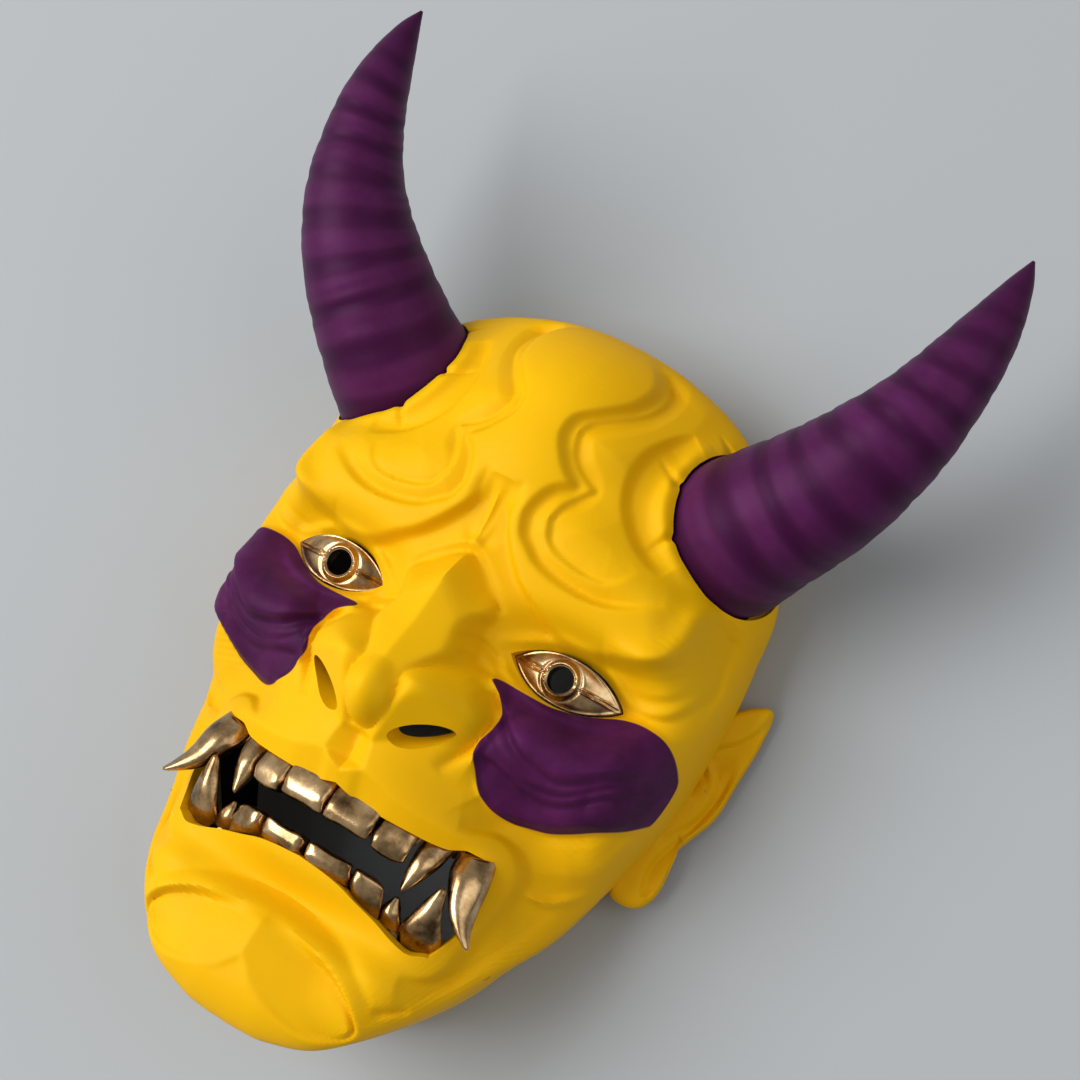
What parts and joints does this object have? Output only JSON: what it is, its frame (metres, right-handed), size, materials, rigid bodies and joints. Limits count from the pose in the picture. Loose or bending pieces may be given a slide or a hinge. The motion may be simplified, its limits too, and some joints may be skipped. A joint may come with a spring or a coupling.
{
  "type": "oni mask",
  "caption": "Hollow horned demon face mask with scowling brows, gold eye plates and bared gold teeth and tusks, open at the back and lying on its rim.",
  "frame": {"origin": "middle of the mask's outline box in X and Y, on the plane of the flat rim at its back", "axes": "+Z out of the face, away from the rim; +Y up the face, from chin to horns; +X across the face, to the right as one looks at it"},
  "size_m": [0.1894, 0.2516, 0.0832],
  "materials": {
    "shell_paint": "satin yellow paint on a cast shell, with satin purple cheeks",
    "horn_paint": "satin mottled purple",
    "old_gold": "worn and polished old gold"
  },
  "bodies": {
    "root": {"mask_shell": "shell_paint", "horn_right": "horn_paint", "horn_left": "horn_paint", "eye_right": "old_gold", "eye_left": "old_gold", "upper_teeth": "old_gold", "lower_teeth": "old_gold"}
  },
  "joints": []
}
